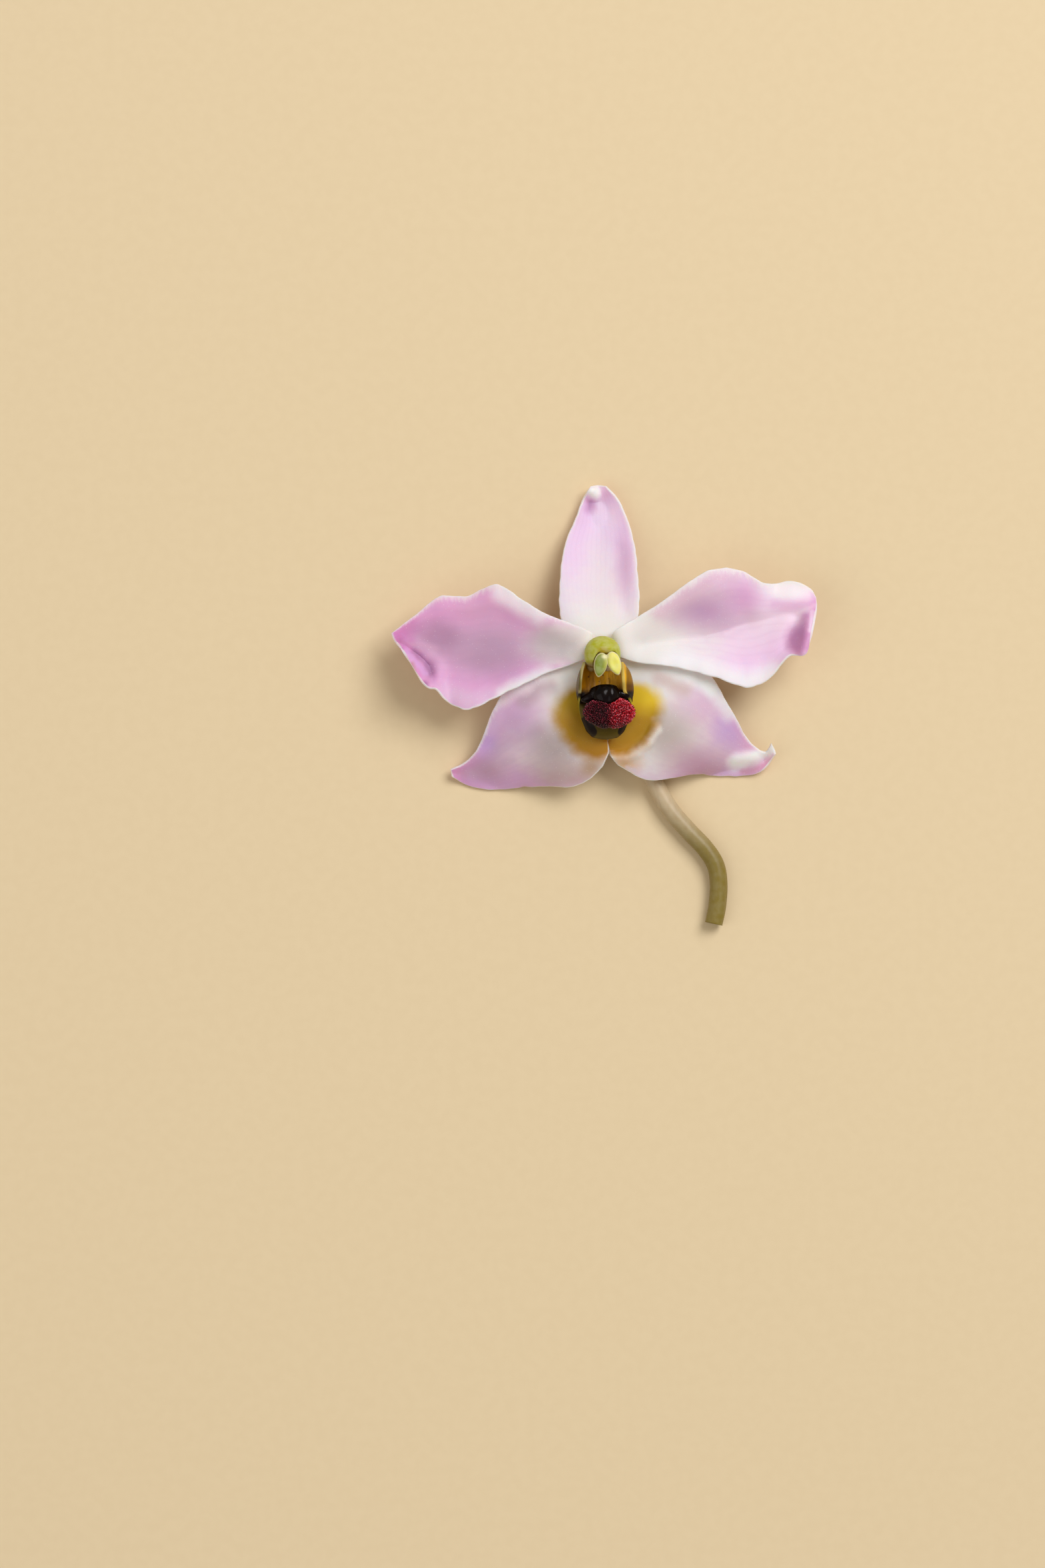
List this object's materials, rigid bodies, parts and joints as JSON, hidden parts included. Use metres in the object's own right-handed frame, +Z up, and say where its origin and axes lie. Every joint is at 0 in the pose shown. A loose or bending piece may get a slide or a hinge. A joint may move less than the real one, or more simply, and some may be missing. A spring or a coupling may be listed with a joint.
{
  "type": "orchid flower",
  "caption": "Picked dendrobium orchid flower lying face up: pink and white sepals and petals, a dark crimson lip with yellow beside it, a green column and its curved stalk.",
  "frame": {"origin": "on the surface that the flower lies on, under the middle of its bounding box", "axes": "+Z up, out of the flower's face; +Y from the cut end of the stalk to the tip of the top sepal; +X to the viewer's right when the flower is seen from above with the top sepal up"},
  "size_m": [0.0421, 0.0439, 0.01],
  "materials": {
    "sepal": "soft, faintly glittering, white at the base and pale orchid pink outwards",
    "petal": "soft, faintly glittering, white at the base and orchid pink at the tip",
    "lip_flesh": "waxy golden brown with darker ends",
    "callus": "glossy, nearly black",
    "papillae": "crimson, wet and sparkling",
    "column": "waxy lime green",
    "anther": "waxy pale green with a cream rim",
    "pollinia": "waxy yellow",
    "stalk": "smooth cream, browner at the cut end"
  },
  "bodies": {
    "root": {"dorsal_sepal": "sepal", "left_lateral_sepal": "sepal", "right_lateral_sepal": "sepal", "left_petal": "petal", "right_petal": "petal", "lip": "lip_flesh", "lip_callus": "callus", "lip_papillae": "papillae", "column": "column", "anther_cap": "anther", "pollinia_left": "pollinia", "pollinia_right": "pollinia", "stalk_with_ovary": "stalk"}
  },
  "joints": []
}
